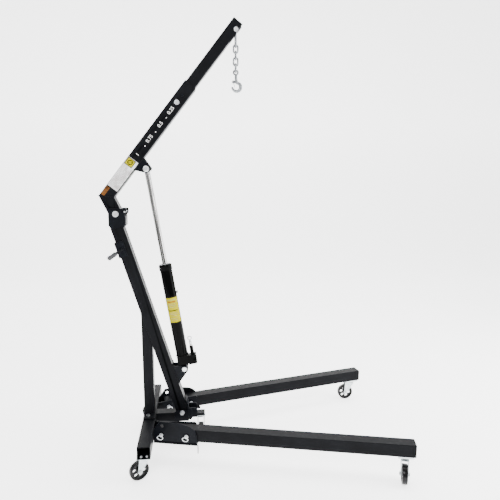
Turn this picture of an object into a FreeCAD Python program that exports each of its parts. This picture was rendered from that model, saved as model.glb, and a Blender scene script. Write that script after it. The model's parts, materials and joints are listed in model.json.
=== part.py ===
import FreeCAD, Part
import math
import os
from FreeCAD import Placement, Rotation, Vector

# Folding engine hoist crane.
# Frame: +X is the way the legs and the boom point, +Z is up, the crane is symmetric about Y = 0
# except for its casters, pins and pump.  The origin is on the floor under the middle of the
# rear crossbeam.  "right" is the -Y side and "left" is the +Y side.  Lengths are millimetres.

doc = FreeCAD.newDocument("engine_hoist")

# ---------------------------------------------------------------- driving dimensions
DIMENSIONS = {
    # base frame
    "tube_side": 60.0,
    "tube_wall": 3.0,
    "beam_half_length": 318.0,
    "beam_top": 182.0,
    "keel_width": 50.0,
    "keel_height": 60.0,
    "keel_top": 184.0,
    "keel_front": 134.0,
    "plate_thick": 6.0,
    # legs
    "splay_angle": 13.1,
    "leg_pin_x": 76.4,
    "leg_pin_y": 138.7,
    "leg_pin_z": 155.0,
    "leg_reach": 1183.0,
    "leg_heel": 18.0,
    "lock_pin_offset": 123.0,
    "pin_radius": 8.0,
    "side_play": 1.0,
    "bracket_front": 174.0,
    "outer_cheek_top": 66.0,
    "inner_cheek_top": 36.0,
    "bracket_floor": 42.0,
    # mast and strut
    "mast_lean": 16.92,
    "mast_side": 60.0,
    "mast_foot_z": 176.0,
    "mast_top_z": 1138.0,
    "mast_axis_x": -82.5,
    "strut_side": 50.0,
    "strut_centre_x": -2.0,
    # boom
    "pivot_x": -126.6,
    "pivot_z": 1201.0,
    "pivot_radius": 10.0,
    "neck_angle": 25.2,
    "neck_length": 90.6,
    "boom_angle": 52.0,
    "boom_side": 60.0,
    "boom_wall": 4.0,
    "boom_length": 645.0,
    "inner_side": 50.0,
    "inner_start": 481.5,
    "inner_end": 1001.5,
    "stop_pitch": 82.5,
    "first_stop": 541.5,
    "tip_bolt_along": 966.0,
    "tip_bolt_drop": 14.5,
    "ram_pin_along": 213.7,
    "ram_pin_drop": 67.8,
    # ram
    "ram_foot_x": 178.2,
    "ram_foot_z": 418.0,
    "ram_tilt": 9.07,
    "ram_length": 1004.3,
    "barrel_radius": 29.0,
    "barrel_bore": 20.0,
    "barrel_start": 68.0,
    "barrel_end": 512.0,
    "cap_radius": 31.5,
    "cap_end": 542.0,
    "rod_radius": 12.5,
    "rod_hidden": 222.0,
    # casters
    "wheel_radius": 45.0,
    "wheel_width": 25.0,
    "axle_radius": 6.0,
    "caster_trail": 32.0,
    "nose_top": 172.0,
    "nose_front": 277.0,
    # chain
    "wire_radius": 4.0,
    "link_bend": 10.0,
    "link_reach": 18.0,
    "running_gap": 0.05,
    "link_gap": 0.3,
}

sheet = doc.addObject("Spreadsheet::Sheet", "dims")
for row, (alias, number) in enumerate(DIMENSIONS.items(), start=1):
    sheet.set("A%d" % row, alias)
    sheet.set("B%d" % row, str(number))
    sheet.setAlias("B%d" % row, alias)
doc.recompute()


class Dim:
    """A number together with the spreadsheet expression it comes from."""

    def __init__(self, text, value):
        self.text = text
        self.value = value

    @staticmethod
    def of(other):
        return other if isinstance(other, Dim) else Dim(repr(float(other)), float(other))

    def __add__(self, other):
        other = Dim.of(other)
        return Dim("(%s + %s)" % (self.text, other.text), self.value + other.value)

    def __sub__(self, other):
        other = Dim.of(other)
        return Dim("(%s - %s)" % (self.text, other.text), self.value - other.value)

    def __mul__(self, other):
        other = Dim.of(other)
        return Dim("(%s * %s)" % (self.text, other.text), self.value * other.value)

    def __truediv__(self, other):
        other = Dim.of(other)
        return Dim("(%s / %s)" % (self.text, other.text), self.value / other.value)

    def __neg__(self):
        return Dim("(0 - %s)" % self.text, -self.value)

    def __radd__(self, other):
        return Dim.of(other) + self

    def __rsub__(self, other):
        return Dim.of(other) - self

    def __rmul__(self, other):
        return Dim.of(other) * self


def dim(alias):
    return Dim("dims.%s" % alias, DIMENSIONS[alias])


def value(size):
    return size.value if isinstance(size, Dim) else float(size)


def bind(obj, prop, size):
    if isinstance(size, Dim):
        obj.setExpression(prop, size.text)
    else:
        setattr(obj, prop, size)


def place(obj, at=(0, 0, 0), rotation=None):
    base = Vector(value(at[0]), value(at[1]), value(at[2]))
    obj.Placement = Placement(base, rotation or Rotation())
    for axis, size in zip("xyz", at):
        if isinstance(size, Dim):
            obj.setExpression(".Placement.Base.%s" % axis, size.text)
    return obj


def box(low, size, rotation=None):
    obj = doc.addObject("Part::Box", "box")
    for prop, length in zip(("Length", "Width", "Height"), size):
        bind(obj, prop, length)
    return place(obj, low, rotation)


ALONG_X = Rotation(Vector(0, 1, 0), 90)
ALONG_Y = Rotation(Vector(1, 0, 0), -90)
ALONG_Z = Rotation()


def rod(radius, length, at, rotation=ALONG_Z):
    obj = doc.addObject("Part::Cylinder", "rod")
    bind(obj, "Radius", radius)
    bind(obj, "Height", length)
    return place(obj, at, rotation)


def cross_rod(radius, half_length, x, z):
    """Round bar along Y, centred on Y = 0."""
    length = half_length * 2 if isinstance(half_length, Dim) else half_length * 2.0
    return rod(radius, length, (x, -half_length, z), ALONG_Y)


def hexagon(across, height, at, rotation=ALONG_Z):
    obj = doc.addObject("Part::Prism", "hexagon")
    obj.Polygon = 6
    bind(obj, "Circumradius", across / math.sqrt(3.0))
    bind(obj, "Height", height)
    return place(obj, at, rotation)


def ring(ring_radius, wire_radius, at, rotation=ALONG_Z, sweep=360.0):
    obj = doc.addObject("Part::Torus", "ring")
    bind(obj, "Radius1", ring_radius)
    bind(obj, "Radius2", wire_radius)
    obj.Angle3 = sweep
    return place(obj, at, rotation)


def ball(radius, at):
    obj = doc.addObject("Part::Sphere", "ball")
    bind(obj, "Radius", radius)
    return place(obj, at)


def outline_plate(points, y_low, thickness):
    """Flat plate parallel to XZ with a straight-sided outline of (x, z) points."""
    sketch = doc.addObject("Sketcher::SketchObject", "outline")
    corners = [Vector(value(x), value(z), 0) for x, z in points]
    for start, end in zip(corners, corners[1:] + corners[:1]):
        sketch.addGeometry(Part.LineSegment(start, end), False)
    sketch.Placement = Placement(Vector(0, 0, 0), Rotation(Vector(1, 0, 0), 90))
    plate = doc.addObject("Part::Extrusion", "plate")
    plate.Base = sketch
    plate.DirMode = "Custom"
    plate.Dir = Vector(0, 1, 0)
    bind(plate, "LengthFwd", thickness)
    plate.Solid = True
    return place(plate, (0, y_low, 0))


def fuse(*shapes):
    if len(shapes) == 1:
        return shapes[0]
    obj = doc.addObject("Part::MultiFuse", "fuse")
    obj.Shapes = list(shapes)
    obj.Refine = True
    return obj


def cut(base, *tools):
    obj = doc.addObject("Part::Cut", "cut")
    obj.Base = base
    obj.Tool = fuse(*tools)
    return obj


def common(first, second):
    obj = doc.addObject("Part::MultiCommon", "common")
    obj.Shapes = [first, second]
    return obj


def group(*shapes):
    obj = doc.addObject("Part::Compound", "group")
    obj.Links = list(shapes)
    return obj


NODES = []


def node(label, shape, at=(0, 0, 0), rotation=None):
    """Name a finished piece and put it in its place in the crane."""
    holder = doc.addObject("Part::Compound", label)
    holder.Links = [shape]
    holder.Label = label
    place(holder, at, rotation)
    NODES.append(holder)
    return holder


def tube_x(length, side, wall, start=0.0):
    """Square tube along X, centred on Y = Z = 0."""
    outer = box((start, -side / 2, -side / 2), (length, side, side))
    bore = side - wall * 2
    inner = box((start - 1, -bore / 2, -bore / 2), (length + 2, bore, bore))
    return outer, inner


def lean(angle):
    """Turn about Y that leans +Z towards -X by the angle."""
    return Rotation(Vector(0, 1, 0), -value(angle))


side = dim("tube_side")
wall = dim("tube_wall")
thick = dim("plate_thick")
gap = dim("running_gap")
play = dim("side_play")
pin_radius = dim("pin_radius")

# ---------------------------------------------------------------- rear crossbeam and keel
beam_half = dim("beam_half_length")
beam_top = dim("beam_top")
beam_low = beam_top - side
bore = side - wall * 2
rear_caster_y = beam_half - 57
bolt_grid_x = (-13.0, 13.0)
bolt_grid_y = (-41.0, 41.0)

beam_shell = cut(
    box((-side / 2, -beam_half, beam_low), (side, beam_half * 2, side)),
    box((-bore / 2, -beam_half - 1, beam_low + wall), (bore, beam_half * 2 + 2, bore)),
)
bolt_holes = []
for y_sign in (-1, 1):
    for dx in bolt_grid_x:
        for dy in bolt_grid_y:
            bolt_holes.append(rod(4.2, 8.0, (dx, y_sign * rear_caster_y + dy, beam_low - 2)))
node("rear_crossbeam", cut(beam_shell, *bolt_holes))

keel_width = dim("keel_width")
keel_top = dim("keel_top")
keel_height = dim("keel_height")
keel_length = dim("keel_front") - side / 2
node("centre_beam", cut(
    box((side / 2, -keel_width / 2, keel_top - keel_height), (keel_length, keel_width, keel_height)),
    box((side / 2 - 1, -keel_width / 2 + wall, keel_top - keel_height + wall),
        (keel_length + 2, keel_width - wall * 2, keel_height - wall * 2)),
))

# ---------------------------------------------------------------- leg brackets
# Drawn about the leg's hinge pin, X along the leg, then turned by the splay.
cheek = side / 2 + play
outer_top = dim("outer_cheek_top")
inner_top = dim("inner_cheek_top")
floor_drop = dim("bracket_floor")
bracket_front = dim("bracket_front")
lock_offset = dim("lock_pin_offset")
floor_lip = 5.0
splay = value(dim("splay_angle"))
pin_x = dim("leg_pin_x")
pin_y = dim("leg_pin_y")
pin_z = dim("leg_pin_z")

OUTER_OUTLINE = (
    (-60, -floor_drop), (bracket_front, -floor_drop), (bracket_front - 2, 8), (bracket_front - 8, 22),
    (157, 36), (142, 47), (125, 55), (83, 63), (55, outer_top), (-7, outer_top), (-23, 46), (-36, 27), (-60, 27),
)
INNER_OUTLINE = (
    (-60, -floor_drop), (bracket_front - 17, -floor_drop), (bracket_front - 17, inner_top - 8),
    (bracket_front - 25, inner_top), (-60, inner_top - 9), (-60, -10),
)


def leg_bracket(label, y_sign):
    outward_low = cheek if y_sign > 0 else -cheek - thick
    inward_low = -cheek - thick if y_sign > 0 else cheek
    outer_cheek = outline_plate(OUTER_OUTLINE, outward_low, thick)
    inner_cheek = outline_plate(INNER_OUTLINE, inward_low, thick)
    floor_low = -cheek - thick - (floor_lip if y_sign < 0 else 0.0)
    floor = box((-60, floor_low, -floor_drop), (bracket_front + 60, (cheek + thick) * 2 + floor_lip, thick))
    hinge_hole = cross_rod(pin_radius + gap, 50, 0, 0)
    lock_hole = cross_rod(pin_radius + gap, 50, lock_offset, 0)
    stow_hole = rod(pin_radius + 0.5, 20, (3, y_sign * 34 - 10, 45), ALONG_Y)
    body = cut(fuse(outer_cheek, inner_cheek, floor), hinge_hole, lock_hole, stow_hole)
    turned = place(body, (pin_x, y_sign * pin_y, pin_z), Rotation(Vector(0, 0, 1), y_sign * splay))
    trim = box((-170, -400, 0), (170 + side.value / 2, 800, 400))
    node(label, cut(turned, trim))


leg_bracket("leg_bracket_right", -1)
leg_bracket("leg_bracket_left", 1)


def clevis_pin(x, z, ring_side):
    """Round pin along Y with a small head and a pull ring that hangs askew from its -Y end."""
    face = -cheek - thick
    shank = rod(pin_radius, (cheek + thick) * 2 + 12, (x, face - 4, z), ALONG_Y)
    head = rod(9, 5, (x, face - 5.5, z), ALONG_Y)
    neck = rod(4, 10, (x, face - 14, z), ALONG_Y)
    pull = ring(13.5, 2.2, (x + ring_side * 5, face - 7.8, z - 11.8), Rotation(Vector(1, 0, 0), -70))
    return fuse(shank, head, neck, pull)


hinge_pins = []
for y_sign in (-1, 1):
    turn = Rotation(Vector(0, 0, 1), y_sign * splay)
    hinge_pins.append(place(clevis_pin(0, 0, y_sign), (pin_x, y_sign * pin_y, pin_z), turn))
node("leg_hinge_pins", group(*hinge_pins))
for label, y_sign in (("leg_lock_pin_right", -1), ("leg_lock_pin_left", 1)):
    turn = Rotation(Vector(0, 0, 1), y_sign * splay)
    node(label, clevis_pin(lock_offset, 0, y_sign), (pin_x, y_sign * pin_y, pin_z), turn)

# ---------------------------------------------------------------- legs
reach = dim("leg_reach")
heel = dim("leg_heel")
for label, y_sign in (("leg_right", -1), ("leg_left", 1)):
    shell, hollow = tube_x(reach + heel, side, wall, -heel)
    end_stop = box((reach - wall, -side / 2, -side / 2), (wall, side, side))
    pin_bushing = cross_rod(pin_radius + 4, side / 2, 0, 0)
    pin_hole = cross_rod(pin_radius + gap, 60, 0, 0)
    # The lock pin sits in a notch open downwards, so the leg can swing up off it.
    notch = box((lock_offset - 17, -40, -40), (26, 80, 49))
    leg = cut(fuse(cut(shell, hollow), end_stop, pin_bushing), pin_hole, notch)
    turn = Rotation(Vector(0, 0, 1), y_sign * splay)
    node(label, leg, (pin_x, y_sign * pin_y, pin_z), turn)

# ---------------------------------------------------------------- mast, foot, strut
mast_lean = dim("mast_lean")
mast_side = dim("mast_side")
lean_turn = lean(mast_lean)
lean_radians = math.radians(value(mast_lean))


def on_mast(across, up_z):
    """World X of a point at height up_z whose distance in front of the mast axis is across."""
    centre = DIMENSIONS["mast_axis_x"] + (1000.0 - up_z) * math.tan(lean_radians)
    return centre + across / math.cos(lean_radians)


def mast_prism(low_x, width, half_y, low_z=100.0, length=1200.0):
    """Bar along the mast, low_x in front of its axis, starting level with low_z on the axis."""
    start = Vector(on_mast(0, low_z), 0, low_z) + lean_turn.multVec(Vector(value(low_x), 0, 0))
    return box((start.x, -half_y, start.z), (width, half_y * 2, length), lean_turn)


mast_half = mast_side / 2
mast_bore = mast_half - wall
mast_tube = cut(
    mast_prism(-mast_half, mast_side, mast_half),
    mast_prism(-mast_bore, mast_bore * 2, mast_bore),
)
mast_height = dim("mast_top_z") - dim("mast_foot_z")
foot_bolt_x = 162
foot_bolt_z = 188
foot_plate_x = 190
# The tube's foot is cut square, and its front corner is trimmed to clear the bracket's front plate.
node("mast", cut(
    common(mast_tube, box((-300, -100, dim("mast_foot_z")), (foot_plate_x + 299.5, 200, mast_height))),
    cross_rod(6.1, 60, foot_bolt_x, foot_bolt_z),
))

# Foot bracket: a shoe on the keel's end that takes the mast's foot between two cheeks.  The upper
# end of its front plate leans back in front of the mast.
FOOT_CHEEK_OUTLINE = ((124, 142), (196, 142), (196, 198), (130, 198), (124, 192))
foot_cheeks = [outline_plate(FOOT_CHEEK_OUTLINE, y_low, thick) for y_low in (-cheek - thick, cheek)]
foot_floor = box((136, -cheek - 1, 168), (55, (cheek + 1) * 2, thick))
foot_spacers = [
    box((124, y_low, 146), (10, cheek - keel_width / 2 + 0.5, 34))
    for y_low in (-cheek - 0.5, keel_width / 2)
]
foot_front = box((foot_plate_x, -cheek - 1, 142), (thick, (cheek + 1) * 2, 74))
foot_tongue = outline_plate(((190, 210), (196, 214), (186, 251), (180, 251)), -mast_side / 2, mast_side)
node("mast_foot_bracket", cut(
    fuse(foot_floor, foot_front, foot_tongue, *foot_cheeks, *foot_spacers),
    cross_rod(6.1, 60, foot_bolt_x, foot_bolt_z),
))

# Nose bracket in front of it: two side plates and a tongue that carries the middle caster.
nose_top = dim("nose_top")
nose_front = dim("nose_front")
nose_start = foot_plate_x + thick
nose_neck = 238
NOSE_OUTLINE = (
    (nose_start, 145), (208, 145), (214, 157), (nose_neck, 157), (nose_neck, 200), (230, 208), (nose_start, 208),
)
nose_sides = [outline_plate(NOSE_OUTLINE, y_low, 5) for y_low in (-30, 25)]
node("nose_bracket", fuse(
    box((nose_start, -25, nose_top - thick), (nose_neck - nose_start, 50, thick)),
    box((nose_neck - 1, -20, nose_top - thick), (nose_front - nose_neck + 1, 40, thick)),
    *nose_sides,
))

strut_side = dim("strut_side")
strut_x = dim("strut_centre_x")
strut_bore = strut_side - wall * 2
strut_low = beam_top + thick
strut_tube = cut(
    box((strut_x - strut_side / 2, -strut_side / 2, strut_low), (strut_side, strut_side, 600)),
    box((strut_x - strut_bore / 2, -strut_bore / 2, strut_low - 1), (strut_bore, strut_bore, 602)),
)
strut_cut = cut(strut_tube, mast_prism(-mast_half, 400, 60))
strut_foot = box((-30, -76, beam_top), (60, 152, thick))
node("strut", fuse(strut_cut, strut_foot))

# Ram gussets: two plates on the mast's front face.
GUSSET_OUTLINE = (
    (on_mast(30, 434), 434), (186, 434), (197, 425), (195, 408), (on_mast(30, 342), 342),
)
ram_foot_x = dim("ram_foot_x")
ram_foot_z = dim("ram_foot_z")
gussets = [
    cut(outline_plate(GUSSET_OUTLINE, y_low, thick), cross_rod(pin_radius + gap, 60, ram_foot_x, ram_foot_z))
    for y_low in (-26, 20)
]
node("ram_gussets", group(*gussets))

# Head bracket: two cheeks, a cap plate on the mast and a low front flange.
pivot_x = dim("pivot_x")
pivot_z = dim("pivot_z")
pivot_radius = dim("pivot_radius")
HEAD_OUTLINE = (
    (-160, 1146), (-146, 1129), (-94, 1141), (-84, 1146), (-83, 1196), (-76, 1203), (-75, 1222), (-79, 1226),
    (-152, 1226), (-160, 1216),
)
guard_bolt_x = -83
guard_bolt_z = 1212
head_cheeks = [outline_plate(HEAD_OUTLINE, y_low, thick) for y_low in (-cheek - thick, cheek)]
head_cap = box((-152, -cheek, dim("mast_top_z")), (64, cheek * 2, thick))
head_flange = box((-87, -cheek, 1146), (thick, cheek * 2, 44))
node("mast_head_bracket", cut(
    fuse(head_cap, head_flange, *head_cheeks),
    cross_rod(pivot_radius + gap, 60, pivot_x, pivot_z),
    cross_rod(3.1, 60, guard_bolt_x, guard_bolt_z),
))

# Push handle: a strap round the mast's back and two arms with grips.
strap_shell = mast_prism(-mast_half - thick, 42, mast_half + thick, 1000, 76)
strap_core = mast_prism(-mast_half, 60, mast_half, 990, 120)
node("push_bar_strap", cut(strap_shell, strap_core))
arm_start = Vector(-99, 35.5, 1036)
arm_end = Vector(-147, 135, 1007)
grip_start = arm_start + (arm_end - arm_start) * 0.55


def mirrored_bars(start, end, radius):
    bars = []
    for y_sign in (-1, 1):
        low = Vector(start.x, start.y * y_sign, start.z)
        along = Vector(end.x, end.y * y_sign, end.z) - low
        bars.append(rod(radius, along.Length, tuple(low), Rotation(Vector(0, 0, 1), along)))
    return bars


strap_outside = mast_half + thick
arms = [
    cut(arm, box((-200, -strap_outside, 900), (300, strap_outside * 2, 300)))
    for arm in mirrored_bars(arm_start, grip_start, 6.5)
]
node("push_bar_arms", group(*arms))
node("push_bar_grips", group(*mirrored_bars(grip_start, arm_end, 10.5)))

# ---------------------------------------------------------------- fasteners of the frame


def cross_bolt(radius, across, half_grip, x, z):
    """Bolt along Y with a hexagon head on the -Y side and a nut on the +Y side."""
    shank = rod(radius, half_grip * 2 + 16, (x, -half_grip - 1, z), ALONG_Y)
    head = hexagon(across, 7, (x, -half_grip - 7, z), ALONG_Y)
    nut = hexagon(across, 8, (x, half_grip, z), ALONG_Y)
    return fuse(shank, head, nut)


cheek_face = cheek + thick
node("boom_pivot_bolt", cross_bolt(pivot_radius, 24, cheek_face, pivot_x, pivot_z))
node("ram_foot_pin", fuse(
    rod(pin_radius, 60, (ram_foot_x, -27, ram_foot_z), ALONG_Y),
    rod(12, 6, (ram_foot_x, -32, ram_foot_z), ALONG_Y),
    rod(12, 4, (ram_foot_x, 26, ram_foot_z), ALONG_Y),
))
strut_bolts = [hexagon(17, 7, (-6, y, beam_top + thick)) for y in (-50, 50)]
node("frame_bolts", group(
    cross_bolt(6, 19, cheek_face, foot_bolt_x, foot_bolt_z),
    cross_bolt(3, 8, cheek_face, guard_bolt_x, guard_bolt_z),
    *strut_bolts,
))

# ---------------------------------------------------------------- boom
# Drawn about the point where the centre lines of neck and boom meet, X along the boom.
boom_angle = dim("boom_angle")
boom_side = dim("boom_side")
boom_wall = dim("boom_wall")
boom_length = dim("boom_length")
neck_angle = dim("neck_angle")
neck_length = dim("neck_length")
neck_turn = lean(neck_angle)
elbow = Vector(pivot_x.value, 0, pivot_z.value) + neck_turn.multVec(Vector(0, 0, neck_length.value))
boom_turn = Rotation(Vector(0, 1, 0), -boom_angle.value)
boom_along = boom_turn.multVec(Vector(1, 0, 0))
neck_down = neck_turn.multVec(Vector(0, 0, -1))
# The mitre plane halves the angle between neck and boom.
mitre = boom_along + neck_down
mitre_turn = Rotation(Vector(1, 0, 0), mitre)


def half_space(above):
    """Big block on one side of the mitre plane at the elbow, in world coordinates."""
    low = Vector(-1500, -100, 0 if above else -1500)
    start = elbow + mitre_turn.multVec(low)
    return box(tuple(start), (3000, 200, 1500), mitre_turn)


def in_boom(along, drop):
    """World point at a distance along the boom and below its centre line."""
    return elbow + boom_turn.multVec(Vector(along, 0, -drop))


first_stop = dim("first_stop")
pitch = dim("stop_pitch")
shell, hollow = tube_x(boom_length + 60, boom_side, boom_wall, -60)
stops = [cross_rod(5.2, 60, first_stop - pitch * step, 0) for step in range(1, 4)]
lock_hole = cross_rod(8.1, 60, first_stop, 0)
boom_shape = cut(cut(shell, hollow), lock_hole, *stops)
boom_placed = place(boom_shape, tuple(elbow), boom_turn)
node("boom_outer_tube", cut(boom_placed, half_space(False)))

neck_half = boom_side / 2
neck_bore = neck_half - boom_wall
neck_body = cut(
    fuse(
        box((-neck_half, -neck_half, 0), (boom_side, boom_side, neck_length + 60)),
        cross_rod(neck_half, neck_half, 0, 0),
    ),
    box((-neck_bore, -neck_bore, 0), (neck_bore * 2, neck_bore * 2, neck_length + 61)),
    cross_rod(neck_bore, neck_bore, 0, 0),
)
neck_shape = cut(
    fuse(neck_body, cross_rod(pivot_radius + 6, neck_half, 0, 0)),
    cross_rod(pivot_radius + gap, 60, 0, 0),
)
neck_placed = place(neck_shape, (pivot_x, 0, pivot_z), neck_turn)
node("boom_neck", cut(neck_placed, half_space(True)))

# Ram bracket: two plates under the boom.
RAM_BRACKET_OUTLINE = ((175, -30), (248, -30), (231, -84), (220, -88), (200, -82))
bracket_plates = [outline_plate(RAM_BRACKET_OUTLINE, y_low, thick) for y_low in (-25, 19)]
node("boom_ram_bracket", group(*bracket_plates), tuple(elbow), boom_turn)
ram_pin_along = dim("ram_pin_along")
ram_pin_drop = dim("ram_pin_drop")
node("ram_head_pin_caps", group(
    rod(14, 6, (ram_pin_along, -31, -ram_pin_drop), ALONG_Y),
    rod(13, 5, (ram_pin_along, 25, -ram_pin_drop), ALONG_Y),
), tuple(elbow), boom_turn)
node("boom_guide_screws", group(
    rod(6, 3, (583, -33, 0), ALONG_Y),
    rod(6, 3, (583, 30, 0), ALONG_Y),
), tuple(elbow), boom_turn)
node("boom_lock_bolt", fuse(
    rod(8, 10, (first_stop, -36, 0), ALONG_Y),
    rod(11.5, 6, (first_stop, -36.2, 0), ALONG_Y),
    hexagon(19, 6, (first_stop, -42, 0), ALONG_Y),
), tuple(elbow), boom_turn)

# Inner boom with an open end and a slot in its underside for the chain.
inner_side = dim("inner_side")
inner_start = dim("inner_start")
inner_end = dim("inner_end")
tip_along = dim("tip_bolt_along")
tip_drop = dim("tip_bolt_drop")
shell, hollow = tube_x(inner_end - inner_start, inner_side, boom_wall, inner_start)
chain_slot = box((inner_end - 96, -18.5, -40), (100, 37, 20))
tip_hole = cross_rod(6.2, 60, tip_along, -tip_drop)
inner_hole = cross_rod(8.1, 60, first_stop, 0)
node("boom_inner_tube", cut(cut(shell, hollow), chain_slot, tip_hole, inner_hole), tuple(elbow), boom_turn)
node("boom_tip_bolt", cross_bolt(6, 16, inner_side / 2, tip_along, -tip_drop), tuple(elbow), boom_turn)

# ---------------------------------------------------------------- ram
# Drawn about its foot pin, Z along the ram.
tilt_turn = lean(dim("ram_tilt"))
barrel_radius = dim("barrel_radius")
barrel_bore = dim("barrel_bore")
barrel_start = dim("barrel_start")
barrel_end = dim("barrel_end")
cap_radius = dim("cap_radius")
cap_end = dim("cap_end")
rod_radius = dim("rod_radius")
ram_length = dim("ram_length")
ram_at = (ram_foot_x, 0, ram_foot_z)

node("ram_barrel", cut(
    rod(barrel_radius, barrel_end - barrel_start, (0, 0, barrel_start)),
    rod(barrel_bore, barrel_end - barrel_start, (0, 0, barrel_start + 6)),
    rod(3.2, 20, (barrel_radius - 10, 0, 394), ALONG_X),
), ram_at, tilt_turn)
cap_body = doc.addObject("Part::Fillet", "cap_edge")
cap_body.Base = rod(cap_radius, cap_end - barrel_end, (0, 0, barrel_end))
doc.recompute()
top_edges = [
    (index, 8.0, 8.0)
    for index, edge in enumerate(cap_body.Base.Shape.Edges, start=1)
    if edge.BoundBox.ZMin > cap_end.value - 0.1
]
cap_body.Edges = top_edges
node("ram_cap", cut(cap_body, rod(rod_radius + gap, 60, (0, 0, barrel_end - 10))), ram_at, tilt_turn)
foot_lug = cut(
    fuse(
        box((-14, -18, 0), (28, 36, 30)),
        cross_rod(14, 18, 0, 0),
        box((-27, -27, 24), (54, 54, barrel_start - 24)),
    ),
    cross_rod(pin_radius + gap, 60, 0, 0),
)
pump_block = outline_plate(((26, 14), (66, 14), (69, 20), (69, 62), (26, 62)), -17, 34)
pump_x = 51.0
plunger_bore = rod(6 + gap, 40, (pump_x, 0, 40))
node("ram_base", cut(fuse(foot_lug, pump_block), plunger_bore), ram_at, tilt_turn)
node("ram_filler_plug", fuse(
    rod(3, 8, (barrel_radius - 6, 0, 394), ALONG_X),
    rod(6, 6, (barrel_radius + 1, 0, 394), ALONG_X),
), ram_at, tilt_turn)

rod_start = barrel_end - dim("rod_hidden")
node("ram_rod", fuse(
    rod(rod_radius, ram_length - rod_start - 10, (0, 0, rod_start)),
    rod(barrel_bore - 0.5, 16, (0, 0, rod_start)),
    cross_rod(19, 17, 0, ram_length),
), ram_at, tilt_turn)

# Pump: a plunger that slides in the block, with a sleeve and a ring on its upper end.
node("pump_plunger", rod(6, 76, (pump_x, 0, 42)), ram_at, tilt_turn)
node("pump_ring", fuse(
    rod(6.5, 14, (pump_x, 0, 118)),
    rod(4.5, 20, (pump_x, 0, 118)),
    ring(9, 2.4, (pump_x, 0, 147), ALONG_Y),
), ram_at, tilt_turn)
node("pump_sleeve", cut(
    fuse(rod(9, 42, (pump_x, 0, 64)), rod(11, 5, (pump_x, 0, 64))),
    rod(6 + gap.value, 60, (pump_x, 0, 60)),
), ram_at, tilt_turn)
node("release_valve", fuse(
    rod(5, 8, (60, -25, 30), ALONG_Y),
    rod(8, 5, (60, -30, 30), ALONG_Y),
), ram_at, tilt_turn)

# ---------------------------------------------------------------- casters
wheel_radius = dim("wheel_radius")
wheel_width = dim("wheel_width")
axle_radius = dim("axle_radius")
trail = dim("caster_trail")


def caster_plate(width_x, width_y, thickness):
    """Fixed plate with bearing race and kingpin, drawn from its upper face down."""
    plate = box((-width_x / 2, -width_y / 2, -thickness), (width_x, width_y, thickness))
    race = rod(20, 6, (0, 0, -thickness - 6))
    kingpin = rod(6, 10, (0, 0, -thickness - 14))
    keeper = rod(10, 3, (0, 0, -thickness - 13.6))
    return fuse(plate, race, kingpin, keeper)


def caster_fork(race_z):
    """Swivel fork drawn with the kingpin on Z = X = 0 and the wheel trailing towards +X."""
    crown = fuse(rod(22, 4, (0, 0, race_z - 4.3)), box((0, -17.5, race_z - 4.3), (36, 35, 4)))
    cheeks = []
    for y_low in (-17.5, 14.5):
        outline = (
            (-15, race_z - 4.3), (-15, race_z - 12), (value(trail) - 10, value(wheel_radius)),
            (value(trail) - 6, value(wheel_radius) - 9), (value(trail) + 6, value(wheel_radius) - 9),
            (value(trail) + 10, value(wheel_radius)), (36, race_z - 12), (36, race_z - 4.3),
        )
        cheeks.append(outline_plate(outline, y_low, 3))
    axle = cross_rod(axle_radius, 22, trail, wheel_radius)
    ends = [hexagon(15, 5, (trail, y, wheel_radius), ALONG_Y) for y in (-22.5, 17.5)]
    body = cut(fuse(crown, *cheeks), rod(6 + gap.value, 30, (0, 0, race_z - 20)))
    return fuse(body, axle, *ends)


def caster_wheel(radius, width):
    """Wheel about Y through the origin, with a raised hub and six round lightening holes."""
    half = width / 2
    tread = doc.addObject("Part::Chamfer", "tread")
    tread.Base = cross_rod(radius, half, 0, 0)
    doc.recompute()
    tread.Edges = [
        (index, 2.5, 2.5) for index, edge in enumerate(tread.Base.Shape.Edges, start=1)
        if edge.BoundBox.YLength < 0.01
    ]
    hub = cross_rod(12, half + 1.4, 0, 0)
    dish = [
        cut(rod(radius * 0.78, 5, (0, y, 0), ALONG_Y), rod(12, 9, (0, y - 2, 0), ALONG_Y))
        for y in (-half, half - 5)
    ]
    holes = []
    for step in range(6):
        angle = math.radians(60 * step + 12)
        reach_out = value(radius) * 0.55
        holes.append(cross_rod(radius * 0.205, 40, reach_out * math.cos(angle), reach_out * math.sin(angle)))
    return cut(fuse(tread, hub), cross_rod(axle_radius + gap, 60, 0, 0), *dish, *holes)


front_reach = reach - 45
front_x = pin_x.value + front_reach.value * math.cos(math.radians(splay))
front_y = pin_y.value + front_reach.value * math.sin(math.radians(splay))
leg_low = pin_z - side / 2
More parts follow.
